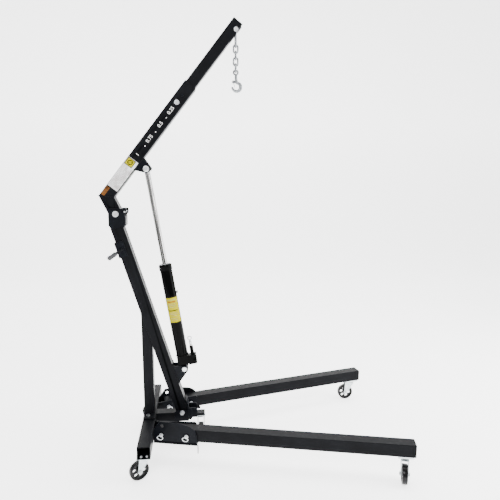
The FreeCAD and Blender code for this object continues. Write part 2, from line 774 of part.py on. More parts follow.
# name, kingpin x, kingpin y, mounting height, plate thickness, direction the wheel trails in degrees
CASTERS = (
    ("rear_right", 0.0, -rear_caster_y.value, beam_low, 5.0, 208.0),
    ("rear_left", 0.0, rear_caster_y.value, beam_low, 5.0, 165.0),
    ("front_right", front_x, -front_y, leg_low, 8.0, 250.0),
    ("front_left", front_x, front_y, leg_low, 8.0, 180.0),
    ("centre", 257.0, 0.0, nose_top - thick, 6.0, 90.0),
)
SQUARE = {"front_left": splay, "front_right": -splay}
plates = {}
for name, x, y, height, thickness, heading in CASTERS:
    turn = Rotation(Vector(0, 0, 1), heading)
    race_z = value(height) - thickness - 6
    square = SQUARE.get(name, 0.0)
    if name.startswith("rear"):
        shape = caster_plate(58, 100, thickness)
        holes = [rod(4.2, 20, (dx, dy, -15)) for dx in bolt_grid_x for dy in bolt_grid_y]
        shape = cut(shape, *holes)
    elif name == "centre":
        shape = caster_plate(40, 40, thickness)
    else:
        shape = caster_plate(70, 58, thickness)
    plates[name] = place(shape, (x, y, height), Rotation(Vector(0, 0, 1), square))
    node("caster_fork_" + name, caster_fork(race_z), (x, y, 0), turn)
    hub = Vector(x, y, 0) + turn.multVec(Vector(trail.value, 0, wheel_radius.value))
    node("caster_wheel_" + name, caster_wheel(wheel_radius, wheel_width), tuple(hub), turn)
node("caster_plates_rear", group(plates["rear_right"], plates["rear_left"]))
node("caster_plate_centre", plates["centre"])
node("caster_plate_front_right", plates["front_right"])
node("caster_plate_front_left", plates["front_left"])

caster_bolts = []
for y_sign in (-1, 1):
    for dx in bolt_grid_x:
        for dy in bolt_grid_y:
            x, y = dx, y_sign * rear_caster_y.value + dy
            shank = rod(4, 18, (x, y, beam_low - 7))
            head = hexagon(13, 5, (x, y, beam_low - 10.05))
            nut = hexagon(13, 6.5, (x, y, beam_low + wall))
            caster_bolts.append(fuse(shank, head, nut))
node("caster_bolts", group(*caster_bolts))

# ---------------------------------------------------------------- chain and hook
wire = dim("wire_radius")
bend = dim("link_bend")
link_reach = dim("link_reach")
link_gap = dim("link_gap")
straight = link_reach - bend
tip = in_boom(tip_along.value, tip_drop.value)


def half_turn(radius, wire_radius, z, upwards):
    """Half ring in the XZ plane closing upwards or downwards."""
    base = Rotation(Vector(1, 0, 0), 90) if upwards else Rotation(Vector(1, 0, 0), -90)
    return ring(radius, wire_radius, (0, 0, z), base, 180.0)


def chain_link():
    """Oval link in the XZ plane, centred on the origin."""
    sides = [rod(wire, straight * 2, (x, 0, -straight)) for x in (-bend, bend)]
    return fuse(half_turn(bend, wire, straight, True), half_turn(bend, wire, -straight, False), *sides)


QUARTER = Rotation(Vector(0, 0, 1), 90)
bow_wire = 4.5
bow_drop = 71.0
shackle_ears = [
    cut(cross_rod(11, 5, 0, 0), cross_rod(6 + gap.value, 30, 0, 0)) for _ in (0, 1)
]
for ear, x in zip(shackle_ears, (-12, 12)):
    place(ear, (0, x, 0))
shackle_legs = [rod(bow_wire, bow_drop - 12 - 7, (0, y, -bow_drop + 12)) for y in (-12, 12)]
bow = ring(12, bow_wire, (0, 0, -bow_drop + 12), Rotation(Vector(0, 0, 1), 90) * Rotation(Vector(1, 0, 0), -90), 180.0)
node("chain_shackle", fuse(bow, *shackle_ears, *shackle_legs), tuple(tip))

hang = tip.z - bow_drop
hang_wire = bow_wire
for index in range(1, 5):
    centre = hang + hang_wire + wire.value + link_gap.value - link_reach.value
    turn = Rotation() if index % 2 else QUARTER
    node("chain_link_%d" % index, chain_link(), (tip.x, 0, centre), turn)
    hang = centre - link_reach.value
    hang_wire = wire.value

# Hook: eye, shank and bowl with a rounded tip, latch lug, and a sprung latch across the throat.
# Drawn about the middle of its eye.
eye_radius = 10.0
bowl_radius = 19.0
bowl_wire = 7.0
bowl_x = 5.0
bowl_drop = 65.0
opening_from = 185.0
bowl_sweep = 285.0
eye_z = hang + wire.value * 2 + link_gap.value - eye_radius
tip_angle = math.radians(opening_from)
tip_x = bowl_x + bowl_radius * math.cos(tip_angle)
tip_z = -bowl_drop + bowl_radius * math.sin(tip_angle)
latch_x = bowl_x - 16.5
latch_z = -bowl_drop + 23.0
bowl = ring(bowl_radius, bowl_wire, (bowl_x, 0, -bowl_drop),
            Rotation(Vector(1, 0, 0), 90) * Rotation(Vector(0, 0, 1), opening_from), bowl_sweep)
shank = rod(7.5, bowl_drop - bowl_radius - eye_radius, (1.5, 0, bowl_radius - bowl_drop))
lugs = [box((latch_x - 5, y_low, latch_z - 5), (15, 2.5, 10)) for y_low in (-7.5, 5)]
node("hook", fuse(
    ring(eye_radius, wire, (0, 0, 0), ALONG_Y),
    shank,
    bowl,
    ball(bowl_wire, (tip_x, 0, tip_z)),
    cross_rod(2, 8.5, latch_x, latch_z),
    *lugs,
), (tip.x, 0, eye_z))
latch_lean = Rotation(Vector(0, 1, 0), -15.6)
node("hook_latch", cut(
    fuse(
        cross_rod(4, 4.7, latch_x, latch_z),
        place(box((0, 0, 0), (2.5, 9, 27)), tuple(
            Vector(latch_x, 0, latch_z) + latch_lean.multVec(Vector(-1.25, -4.5, -27))), latch_lean),
    ),
    cross_rod(2 + gap, 30, latch_x, latch_z),
), (tip.x, 0, eye_z))

os.makedirs("parts", exist_ok=True)
doc.recompute()

problems = []
for obj in doc.Objects:
    if "Invalid" in obj.State or "Error" in obj.State:
        problems.append("%s %s" % (obj.Name, obj.State))
for holder in NODES:
    if holder.Shape.isNull() or not holder.Shape.isValid():
        problems.append("shape of %s" % holder.Label)
if problems:
    raise RuntimeError("; ".join(problems))
for holder in NODES:
    holder.Shape.exportStep(os.path.join("parts", holder.Label + ".step"))
    box_of = holder.Shape.BoundBox
    print("%-26s solids %d volume %.0f z %.1f..%.1f" % (
        holder.Label, len(holder.Shape.Solids), holder.Shape.Volume, box_of.ZMin, box_of.ZMax))
print("nodes", len(NODES))
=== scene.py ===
import json
import math

import bmesh
import bpy
from mathutils import Matrix, Vector


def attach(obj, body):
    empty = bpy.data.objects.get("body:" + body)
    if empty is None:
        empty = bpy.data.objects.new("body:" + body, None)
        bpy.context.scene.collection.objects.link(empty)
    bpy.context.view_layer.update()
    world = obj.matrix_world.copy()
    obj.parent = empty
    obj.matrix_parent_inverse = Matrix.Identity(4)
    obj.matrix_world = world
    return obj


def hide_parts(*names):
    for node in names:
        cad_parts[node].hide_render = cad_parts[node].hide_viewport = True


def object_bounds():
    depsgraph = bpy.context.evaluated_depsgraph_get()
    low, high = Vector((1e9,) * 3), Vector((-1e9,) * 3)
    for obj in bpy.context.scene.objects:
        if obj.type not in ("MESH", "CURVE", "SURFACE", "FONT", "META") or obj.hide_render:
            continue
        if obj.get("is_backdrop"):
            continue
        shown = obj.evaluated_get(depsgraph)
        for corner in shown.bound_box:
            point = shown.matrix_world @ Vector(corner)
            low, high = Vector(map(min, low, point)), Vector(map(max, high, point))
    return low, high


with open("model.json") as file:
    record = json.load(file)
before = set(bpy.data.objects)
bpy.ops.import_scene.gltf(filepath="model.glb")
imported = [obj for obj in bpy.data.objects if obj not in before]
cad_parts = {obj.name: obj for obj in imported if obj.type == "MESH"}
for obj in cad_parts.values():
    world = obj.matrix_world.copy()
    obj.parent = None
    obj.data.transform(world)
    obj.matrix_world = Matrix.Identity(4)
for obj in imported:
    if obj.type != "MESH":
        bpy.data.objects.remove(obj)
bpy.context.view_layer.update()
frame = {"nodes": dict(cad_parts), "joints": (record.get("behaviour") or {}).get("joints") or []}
nodes = frame["nodes"]

# ------------------------------------------------------------------ layout, in metres
PIVOT = Vector((-0.1266, 0.0, 1.201))
MAST_LEAN = math.radians(16.92)
BOOM_ANGLE = math.radians(52.0)
NECK_LEAN = math.radians(25.2)
ELBOW = PIVOT + Vector((-math.sin(NECK_LEAN), 0.0, math.cos(NECK_LEAN))) * 0.0906
RAM_FOOT = Vector((0.1782, 0.0, 0.418))
RAM_LEAN = math.radians(9.07)
SPLAY = math.radians(13.1)
LEG_PIN = Vector((0.0764, 0.1387, 0.155))

SIDES = ((-1, "right"), (1, "left"))

# Frames: the boom's along local X from its elbow, the ram's and the mast's along local Z.
BOOM = Matrix.Translation(ELBOW) @ Matrix.Rotation(-BOOM_ANGLE, 4, "Y")
RAM = Matrix.Translation(RAM_FOOT) @ Matrix.Rotation(-RAM_LEAN, 4, "Y")
MAST = Matrix.Translation((-0.0825, 0.0, 1.0)) @ Matrix.Rotation(-MAST_LEAN, 4, "Y")


def leg_frame(side):
    """Frame at a leg's hinge pin, X along the leg; side is -1 on the right and 1 on the left."""
    pin = Matrix.Translation((LEG_PIN.x, side * LEG_PIN.y, LEG_PIN.z))
    return pin @ Matrix.Rotation(side * SPLAY, 4, "Z")


# ------------------------------------------------------------------ materials
class Nodes:
    """Small helper around one node tree."""

    def __init__(self, name):
        self.material = bpy.data.materials.new(name)
        self.material.use_nodes = True
        self.tree = self.material.node_tree
        self.shader = self.tree.nodes["Principled BSDF"]
        self.coords = self.tree.nodes.new("ShaderNodeTexCoord").outputs["Object"]

    def noise(self, scale, detail=3.0, roughness=0.5, stretch=None, lean=0.0):
        """Noise in object space, scaled along each axis by stretch, in a frame leaned about Y by lean."""
        source = self.coords
        if stretch:
            mapping = self.tree.nodes.new("ShaderNodeMapping")
            mapping.vector_type = "TEXTURE"
            mapping.inputs["Scale"].default_value = [1.0 / size for size in stretch]
            mapping.inputs["Rotation"].default_value = (0.0, -lean, 0.0)
            self.tree.links.new(self.coords, mapping.inputs["Vector"])
            source = mapping.outputs["Vector"]
        tex = self.tree.nodes.new("ShaderNodeTexNoise")
        tex.inputs["Scale"].default_value = scale
        tex.inputs["Detail"].default_value = detail
        tex.inputs["Roughness"].default_value = roughness
        self.tree.links.new(source, tex.inputs["Vector"])
        return tex.outputs["Fac"]

    def voronoi(self, scale):
        tex = self.tree.nodes.new("ShaderNodeTexVoronoi")
        tex.inputs["Scale"].default_value = scale
        self.tree.links.new(self.coords, tex.inputs["Vector"])
        return tex.outputs["Distance"]

    def ramp(self, source, stops):
        ramp = self.tree.nodes.new("ShaderNodeValToRGB")
        elements = ramp.color_ramp.elements
        while len(elements) < len(stops):
            elements.new(0.5)
        for element, (position, colour) in zip(elements, stops):
            element.position = position
            element.color = (*colour, 1.0)
        self.tree.links.new(source, ramp.inputs["Fac"])
        return ramp.outputs["Color"]

    def grey_ramp(self, source, low, high, start=0.3, end=0.7):
        return self.ramp(source, ((start, (low,) * 3), (end, (high,) * 3)))

    def bump(self, source, strength, distance, below=None):
        bump = self.tree.nodes.new("ShaderNodeBump")
        bump.inputs["Strength"].default_value = strength
        bump.inputs["Distance"].default_value = distance
        self.tree.links.new(source, bump.inputs["Height"])
        if below is not None:
            self.tree.links.new(below, bump.inputs["Normal"])
        return bump.outputs["Normal"]

    def set(self, socket, source):
        target = self.shader.inputs[socket]
        if isinstance(source, (int, float)):
            target.default_value = source
        elif isinstance(source, tuple):
            target.default_value = (*source, 1.0)
        else:
            self.tree.links.new(source, target)
        return self


def black_paint(name, dark, light, rough_low, rough_high, peel, ior):
    """Powder coat or enamel: orange peel, faint dust and dulled patches."""
    n = Nodes(name)
    patches = n.noise(9.0, 5.0, 0.62)
    n.set("Base Color", n.ramp(patches, ((0.35, dark), (0.75, light))))
    n.set("Roughness", n.grey_ramp(n.noise(26.0, 4.0, 0.6), rough_low, rough_high))
    fine = n.bump(n.noise(900.0, 2.0), peel, 0.0004)
    n.set("Normal", n.bump(n.noise(210.0, 2.0), peel, 0.0009, fine))
    n.set("IOR", ior)
    return n.material


def metal(name, dark, light, rough_low, rough_high, grain, stretch, tint_scale=40.0):
    """Plated or bare metal with directional grain and cloudy tint."""
    n = Nodes(name)
    n.set("Metallic", 1.0)
    n.set("Base Color", n.ramp(n.noise(tint_scale, 4.0, 0.6), ((0.3, dark), (0.7, light))))
    n.set("Roughness", n.grey_ramp(n.noise(160.0, 3.0, 0.6, stretch), rough_low, rough_high))
    n.set("Normal", n.bump(n.noise(700.0, 2.0, 0.5, stretch), grain, 0.0003))
    return n.material


def plastic(name, dark, light, rough_low, rough_high, grain, grain_scale, ior):
    """Moulded plastic or rubber with a cellular grain."""
    n = Nodes(name)
    n.set("IOR", ior)
    n.set("Base Color", n.ramp(n.noise(30.0, 4.0, 0.6), ((0.3, dark), (0.7, light))))
    n.set("Roughness", n.grey_ramp(n.noise(90.0, 3.0, 0.6), rough_low, rough_high))
    n.set("Normal", n.bump(n.voronoi(grain_scale), grain, 0.0004))
    return n.material


def label_stock(name, dark, light, rough_low, rough_high, metallic=0.0, mottle=60.0):
    """Printed vinyl: a little mottling, tiny creases."""
    n = Nodes(name)
    n.set("Metallic", metallic)
    n.set("IOR", 1.12)
    n.set("Base Color", n.ramp(n.noise(mottle, 4.0, 0.6), ((0.32, dark), (0.62, light))))
    n.set("Roughness", n.grey_ramp(n.noise(120.0, 3.0, 0.6), rough_low, rough_high))
    n.set("Normal", n.bump(n.noise(70.0, 4.0, 0.6), 0.08, 0.0005))
    return n.material


def painted_reflection_chrome():
    """Hard chrome whose base colour carries painted reflection streaks: dark and bright bands along the rod.
    """
    n = Nodes("hard_chrome_rod")
    along = (1.0, 1.0, 0.02)
    n.set("Metallic", 1.0)
    painted_reflection_streaks = n.noise(115.0, 3.0, 0.55, along, RAM_LEAN)
    # Painted reflections: dark and bright bands in the base colour along the rod stand in for dark
    # surroundings reflected in the chrome.
    n.set("Base Color", n.ramp(painted_reflection_streaks, (
        (0.38, (0.035, 0.034, 0.034)), (0.47, (0.22, 0.218, 0.215)), (0.52, (0.62, 0.615, 0.61)),
        (0.60, (0.30, 0.298, 0.295)), (0.70, (0.10, 0.099, 0.098)))))
    n.set("Roughness", n.grey_ramp(n.noise(420.0, 2.0, 0.5, along, RAM_LEAN), 0.08, 0.18))
    return n.material


SATIN = black_paint(
    "satin_black_powder_coat", (0.0034, 0.0036, 0.0044), (0.0062, 0.0066, 0.0080), 0.30, 0.42, 0.10, 1.12)
BRACKET = black_paint(
    "bracket_black_enamel", (0.0036, 0.0040, 0.0052), (0.0066, 0.0076, 0.0104), 0.26, 0.38, 0.12, 1.13)
GLOSS = black_paint(
    "gloss_black_enamel", (0.0012, 0.0012, 0.0013), (0.0022, 0.0022, 0.0024), 0.08, 0.15, 0.03, 1.10)

EVEN = (1.0, 1.0, 1.0)
# Chrome for the rod and plunger, with painted reflection streaks in its base colour.
CHROME = painted_reflection_chrome()
ZINC = metal("zinc_plate", (0.56, 0.58, 0.60), (0.80, 0.81, 0.82), 0.24, 0.42, 0.12, (1.0, 1.0, 3.0))
FORK_ZINC = metal(
    "pressed_zinc_sheet", (0.42, 0.46, 0.47), (0.68, 0.71, 0.72), 0.28, 0.50, 0.15, EVEN, 55.0)
CHAIN = metal(
    "galvanised_chain", (0.05, 0.053, 0.058), (0.46, 0.48, 0.50), 0.26, 0.46, 0.35, EVEN, 190.0)
BARE = metal("cut_edge_steel", (0.30, 0.30, 0.31), (0.55, 0.55, 0.56), 0.30, 0.50, 0.20, EVEN)

WHEEL = plastic(
    "wheel_nylon", (0.0030, 0.0030, 0.0034), (0.0060, 0.0060, 0.0066), 0.16, 0.28, 0.04, 900.0, 1.25)
RUBBER = plastic(
    "grip_rubber", (0.030, 0.031, 0.033), (0.060, 0.061, 0.064), 0.55, 0.72, 0.25, 1400.0, 1.4)

SILVER = label_stock("silver_label", (0.50, 0.455, 0.45), (0.88, 0.885, 0.90), 0.26, 0.44, 0.25, 22.0)
YELLOW = label_stock("yellow_label", (0.30, 0.262, 0.0), (0.40, 0.350, 0.0), 0.38, 0.52)
ORANGE = label_stock("orange_label", (0.030, 0.010, 0.003), (0.22, 0.085, 0.022), 0.38, 0.55)
RED_INK = label_stock("red_print", (0.20, 0.020, 0.010), (0.30, 0.035, 0.018), 0.38, 0.55)
WHITE = label_stock("white_print", (0.62, 0.62, 0.61), (0.80, 0.80, 0.79), 0.42, 0.60)
INK = label_stock("black_print", (0.0030, 0.0030, 0.0030), (0.0080, 0.0080, 0.0080), 0.34, 0.50)
GREY_INK = label_stock("grey_print", (0.20, 0.19, 0.19), (0.30, 0.28, 0.28), 0.40, 0.55)


# ------------------------------------------------------------------ mesh helpers
def new_object(name, bm, material, place=None, smooth_angle=40.0):
    """Turns bm into a smooth-shaded object; edges sharper than smooth_angle stay sharp."""
    mesh = bpy.data.meshes.new(name)
    bmesh.ops.recalc_face_normals(bm, faces=bm.faces)
    bm.to_mesh(mesh)
    bm.free()
    mesh.materials.append(material)
    if place is not None:
        mesh.transform(place)
    for polygon in mesh.polygons:
        polygon.use_smooth = True
    mesh.set_sharp_from_angle(angle=math.radians(smooth_angle))
    obj = bpy.data.objects.new(name, mesh)
    bpy.context.collection.objects.link(obj)
    return obj


def lathe(name, profile, material, place, segments, body):
    """Solid of revolution about local Z from (radius, height) points."""
    bm = bmesh.new()
    rings = []
    for radius, height in profile:
        if radius < 1e-7:
            rings.append([bm.verts.new((0.0, 0.0, height))])
            continue
        rings.append([
            bm.verts.new((radius * math.cos(2 * math.pi * k / segments),
                          radius * math.sin(2 * math.pi * k / segments), height))
            for k in range(segments)
        ])
    for low, high in zip(rings, rings[1:]):
        for k in range(segments):
            j = (k + 1) % segments
            if len(low) == 1 and len(high) == 1:
                continue
            if len(low) == 1:
                bm.faces.new((low[0], high[j], high[k]))
            elif len(high) == 1:
                bm.faces.new((low[k], low[j], high[0]))
            else:
                bm.faces.new((low[k], low[j], high[j], high[k]))
    obj = new_object(name, bm, material, place, 32.0)
    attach(obj, body)
    return obj


def sweep_into(bm, points, radii, segments, closed=False):
    """Adds a round tube along points; radii is one radius or one for each point."""
    count = len(points)
    if isinstance(radii, (int, float)):
        radii = [radii] * count
    points = [Vector(p) for p in points]
    side = None
    rings = []
    for i, point in enumerate(points):
        after = points[(i + 1) % count] if closed else points[min(i + 1, count - 1)]
        before = points[i - 1] if closed else points[max(i - 1, 0)]
        along = (after - before).normalized()
        if side is None:
            side = along.orthogonal().normalized()
        side = (side - along * side.dot(along)).normalized()
        up = along.cross(side)
        rings.append([
            bm.verts.new(point + (side * math.cos(a) + up * math.sin(a)) * radii[i])
            for a in (2 * math.pi * k / segments for k in range(segments))
        ])
    pairs = list(zip(rings, rings[1:]))
    if closed:
        pairs.append((rings[-1], rings[0]))
    for low, high in pairs:
        shift = 0
        if closed and high is rings[0]:
            shift = min(range(segments), key=lambda s: (low[0].co - high[s].co).length)
        for k in range(segments):
            j = (k + 1) % segments
            bm.faces.new((low[k], low[j], high[(j + shift) % segments], high[(k + shift) % segments]))
    if not closed:
        bm.faces.new(rings[0])
        bm.faces.new(rings[-1])


WELD_STEP = 0.0035 / 3


def weld_bead(name, points, radius, body):
    """Weld bead with a rippled surface along a polyline."""
    path = []
    for start, end in zip(points, points[1:]):
        start, end = Vector(start), Vector(end)
        steps = max(2, int((end - start).length / WELD_STEP))
        for k in range(steps):
            path.append(start.lerp(end, k / steps))
    path.append(Vector(points[-1]))
    radii = [radius * (1.0 + 0.16 * math.sin(2.1 * i) + 0.07 * math.sin(0.37 * i))
             for i in range(len(path))]
    bm = bmesh.new()
    sweep_into(bm, path, radii, 8)
    obj = new_object(name, bm, SATIN, None, 60.0)
    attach(obj, body)


def slab(bm, x0, x1, z0, z1, y, material_index, corner):
    """Flat face in a plane y = constant; corner is the radius of its rounded corners."""
    steps = 4
    corners = []
    for cx, cz, start in ((x1 - corner, z1 - corner, 0), (x0 + corner, z1 - corner, 90),
                          (x0 + corner, z0 + corner, 180), (x1 - corner, z0 + corner, 270)):
        for k in range(steps + 1 if corner else 1):
            a = math.radians(start + 90.0 * k / steps)
            corners.append(bm.verts.new((cx + corner * math.cos(a), y, cz + corner * math.sin(a))))
    face = bm.faces.new(corners)
    face.material_index = material_index


def soften(obj, width, segments):
    """Rolled edges on a CAD node: joins its split corners, then bevels its sharp edges."""
    weld = obj.modifiers.new("join", "WELD")
    weld.merge_threshold = 0.00002
    bevel = obj.modifiers.new("edge", "BEVEL")
    bevel.width = width
    bevel.segments = segments
    bevel.limit_method = "ANGLE"
    bevel.angle_limit = math.radians(32.0)
    bevel.use_clamp_overlap = True
    bevel.harden_normals = True


def paint(names, material, width=0.0, segments=2):
    """Gives CAD nodes a material and, with a width, rolled edges."""
    for name in names:
        obj = nodes[name]
        obj.data.materials.clear()
        obj.data.materials.append(material)
        if width:
            soften(obj, width, segments)


# ------------------------------------------------------------------ CAD nodes: finish and rolled edges
paint(("rear_crossbeam", "centre_beam", "leg_right", "leg_left", "mast", "strut",
       "boom_outer_tube", "boom_neck", "boom_inner_tube"), SATIN, 0.0022, 3)
paint(("leg_bracket_right", "leg_bracket_left", "mast_foot_bracket", "nose_bracket", "ram_gussets",
       "mast_head_bracket", "push_bar_strap", "boom_ram_bracket"), BRACKET, 0.0009, 2)
paint(("ram_base", "pump_sleeve", "release_valve"), GLOSS, 0.0012, 2)
paint(("pump_plunger",), CHROME)
paint(("ram_barrel", "ram_cap"), GLOSS, 0.0006, 2)
paint(("ram_rod",), CHROME, 0.0006, 2)
paint(("leg_hinge_pins", "leg_lock_pin_right", "leg_lock_pin_left", "boom_pivot_bolt", "ram_foot_pin",
       "frame_bolts", "boom_lock_bolt", "boom_tip_bolt", "ram_head_pin_caps",
       "caster_bolts", "pump_ring"), ZINC, 0.0007, 2)
paint(("boom_guide_screws", "ram_filler_plug"), BRACKET, 0.0007, 2)
paint([name for name in nodes if name.startswith("caster_fork") or name.startswith("caster_plate")],
      FORK_ZINC, 0.0006, 2)
for name in ("caster_fork_centre", "caster_plate_centre"):
    nodes[name].data.materials[0] = BRACKET
paint([name for name in nodes if name.startswith("caster_wheel")], WHEEL, 0.0012, 2)
paint([name for name in nodes if name.startswith("chain_")], CHAIN)
paint(("hook",), CHAIN)
paint(("hook_latch",), ZINC, 0.0004, 2)
paint(("push_bar_arms",), SATIN)
paint(("push_bar_grips",), RUBBER, 0.002, 3)

# ------------------------------------------------------------------ welds
boom_along = (BOOM.to_3x3() @ Vector((1.0, 0.0, 0.0))).normalized()
neck_down = Vector((math.sin(NECK_LEAN), 0.0, -math.cos(NECK_LEAN)))
mitre_line = (boom_along + neck_down).normalized()
mitre_half = 0.03 / math.sin(boom_along.angle(neck_down) / 2.0)
mitre_corners = [
    ELBOW + mitre_line * mitre_half * a + Vector((0.0, 0.03 * b, 0.0))
    for a, b in ((1, -1), (1, 1), (-1, 1), (-1, -1), (1, -1))
]
weld_bead("weld_boom_mitre", mitre_corners, 0.0022, "boom")
for side, label in SIDES:
    weld_bead("weld_strut_head_" + label,
              [(0.0221, side * 0.0252, 0.5546), (-0.0269, side * 0.0252, 0.7135)], 0.0022, "base")
    weld_bead("weld_keel_" + label,
              [(0.0305, side * 0.0252, 0.126), (0.0305, side * 0.0252, 0.182)], 0.0022, "base")
    weld_bead("weld_ram_bracket_" + label,
              [BOOM @ Vector((x, side * 0.0258, -0.0305)) for x in (0.178, 0.245)], 0.0020, "boom")
    weld_bead("weld_gusset_" + label,
              [MAST @ Vector((0.0305, side * 0.0262, (z - 1.0) / math.cos(MAST_LEAN) + 0.0092))
               for z in (0.346, 0.430)], 0.0020, "base")
weld_bead("weld_strut_foot", [(x - 0.002, y, 0.1884) for x, y in (
    (0.025, -0.025), (0.025, 0.025), (-0.025, 0.025), (-0.025, -0.025), (0.025, -0.025))],
    0.0022, "base")
weld_bead("weld_keel_top", [(0.0305, -0.024, 0.1825), (0.0305, 0.024, 0.1825)], 0.0020, "base")
weld_bead("weld_mast_head", [MAST @ Vector((x, y, 0.1447 + x * 0.3042)) for x, y in (
    (0.030, -0.0302), (-0.030, -0.0302))], 0.0018, "base")
for side, label in SIDES:
    start = leg_frame(side)
    along = start.to_3x3() @ Vector((1.0, 0.0, 0.0))
    for cheek, y, outward, top in (("outer", side * 0.0345, side, 0.026),
                                   ("inner", -side * 0.0345, -side, 0.020)):
        across = start @ Vector((0.0, y, 0.0))
        foot = across + along * ((0.0312 - across.x) / along.x)
        weld_y = foot.y + outward * 0.004
        weld_bead("weld_bracket_%s_%s" % (cheek, label),
                  [(foot.x, weld_y, 0.126), (foot.x, weld_y, 0.155 + top)], 0.0020, "base")

# ------------------------------------------------------------------ washers and bolt ends
ALONG_Y = Matrix.Rotation(math.radians(-90.0), 4, "X")
FACING_RIGHT = Matrix.Rotation(math.radians(90.0), 4, "X")


def washer(name, x, y, z, outer, inner, thickness, body, place=Matrix.Identity(4)):
    """Flat washer facing along Y, with rolled rims."""
    edge = thickness * 0.25
    profile = [(inner, 0.0), (outer - edge, 0.0), (outer, edge), (outer, thickness - edge),
               (outer - edge, thickness), (inner, thickness), (inner, 0.0)]
    lathe(name, profile, ZINC, place @ Matrix.Translation((x, y, z)) @ ALONG_Y, 40, body)


washer("washer_pivot_right", -0.1266, -0.0386, 1.201, 0.0142, 0.0102, 0.0016, "base")
washer("washer_pivot_left", -0.1266, 0.0370, 1.201, 0.0142, 0.0102, 0.0016, "base")
washer("washer_foot_right", 0.162, -0.0384, 0.188, 0.0120, 0.0062, 0.0014, "base")
washer("washer_foot_left", 0.162, 0.0370, 0.188, 0.0120, 0.0062, 0.0014, "base")
washer("washer_tip_right", 0.966, -0.0264, -0.0145, 0.0104, 0.0062, 0.0014, "boom_extension", BOOM)
washer("washer_tip_left", 0.966, 0.0250, -0.0145, 0.0104, 0.0062, 0.0014, "boom_extension", BOOM)


def stamped_disc(name, x, y, z, radius, body, place=Matrix.Identity(4)):
    """Shallow domed face with a centre punch and a raised rim, on a round pin head."""
    profile = [(radius * share, height) for share, height in (
        (0.0, 0.0002), (0.16, 0.0003), (0.20, 0.0011), (0.62, 0.0013), (0.70, 0.0006),
        (0.78, 0.0006), (0.86, 0.0012), (0.95, 0.0010), (0.985, 0.0))]
    lathe(name, profile, ZINC, place @ Matrix.Translation((x, y, z)) @ FACING_RIGHT, 48, body)


stamped_disc("ram_foot_pin_face", 0.1782, -0.032, 0.418, 0.0120, "base")
stamped_disc("ram_head_pin_face", 0.2137, -0.031, -0.0678, 0.0140, "boom", BOOM)
stamped_disc("pivot_bolt_face", -0.1266, -0.044, 1.201, 0.0104, "base")
stamped_disc("boom_lock_bolt_face", 0.5415, -0.042, 0.0, 0.0082, "boom_lock", BOOM)
stamped_disc("tip_bolt_face", 0.966, -0.032, -0.0145, 0.0070, "boom_extension", BOOM)
stamped_disc("foot_bolt_face", 0.162, -0.044, 0.188, 0.0082, "base")

# ------------------------------------------------------------------ push handle grips
GRIP_END = Vector((-0.147, 0.135, 1.007))
GRIP_START = Vector((-0.099, 0.0355, 1.036)).lerp(GRIP_END, 0.55)
RIBS = 11
for side, label in SIDES:
    low = Vector((GRIP_START.x, GRIP_START.y * side, GRIP_START.z))
    high = Vector((GRIP_END.x, GRIP_END.y * side, GRIP_END.z))
    along = high - low
    length = along.length
    pitch = (length - 0.0175) / RIBS
    outline = [(0.0060, 0.0), (0.0088, 0.0), (0.0104, 0.0010), (0.0104, 0.0040), (0.0086, 0.0052)]
    for k in range(RIBS):
        base = 0.0058 + k * (length - 0.0175) / RIBS
        outline += [(0.0086, base), (0.0098, base + pitch * 0.22), (0.0100, base + pitch * 0.5),
                    (0.0098, base + pitch * 0.78), (0.0086, base + pitch * 0.98)]
    outline += [(0.0088, length - 0.0108), (0.0103, length - 0.0092), (0.0105, length - 0.0060),
                (0.0098, length - 0.0026), (0.0070, length - 0.0006), (0.0, length)]
    place = Matrix.Translation(low) @ along.to_track_quat("Z", "Y").to_matrix().to_4x4()
    grip = lathe("grip_sleeve_" + label, outline, RUBBER, place, 40, "base")
    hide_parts("push_bar_grips")

# ------------------------------------------------------------------ ram details
def ram_ring(name, radius, z, half_height, swell, material, inner, place=RAM):
    """Rounded collar round the ram, or round the axis that place gives."""
    steps = 8
    profile = [(inner, z - half_height)]
    for k in range(steps + 1):
        a = math.pi * (k / steps - 0.5)
        profile.append((radius + swell * math.cos(a), z + half_height * math.sin(a)))
    profile.append((inner, z + half_height))
    lathe(name, profile, material, place, 64, "ram")


PUMP = RAM @ Matrix.Translation((0.051, 0.0, 0.0))
ram_ring("ram_base_weld", 0.0292, 0.0692, 0.0028, 0.0026, GLOSS, 0.0282)
ram_ring("ram_cap_groove_low", 0.0316, 0.5150, 0.0014, 0.0004, GLOSS, 0.0306)
ram_ring("ram_wiper_seal", 0.0128, 0.5428, 0.0016, 0.0042, RUBBER, 0.0127)
ram_ring("ram_snap_ring", 0.0190, 0.5424, 0.0008, 0.0008, ZINC, 0.0180)
ram_ring("pump_gland_nut", 0.0085, 0.0629, 0.0009, 0.0012, GLOSS, 0.0062, PUMP)


def barrel_patch(name, low, high, arc_from, arc_to, radius, material):
    """Label on the barrel between two heights and two angles; 0 degrees faces the right side (-Y)."""
    bm = bmesh.new()
    columns = 36
    grid = []
    for z in (low, high):
        grid.append([
            bm.verts.new((radius * math.sin(math.radians(a)), -radius * math.cos(math.radians(a)), z))
            for a in (arc_from + (arc_to - arc_from) * k / columns for k in range(columns + 1))
        ])
    for k in range(columns):
        bm.faces.new((grid[0][k], grid[0][k + 1], grid[1][k + 1], grid[1][k]))
    obj = new_object(name, bm, material, RAM, 60.0)
    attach(obj, "ram")


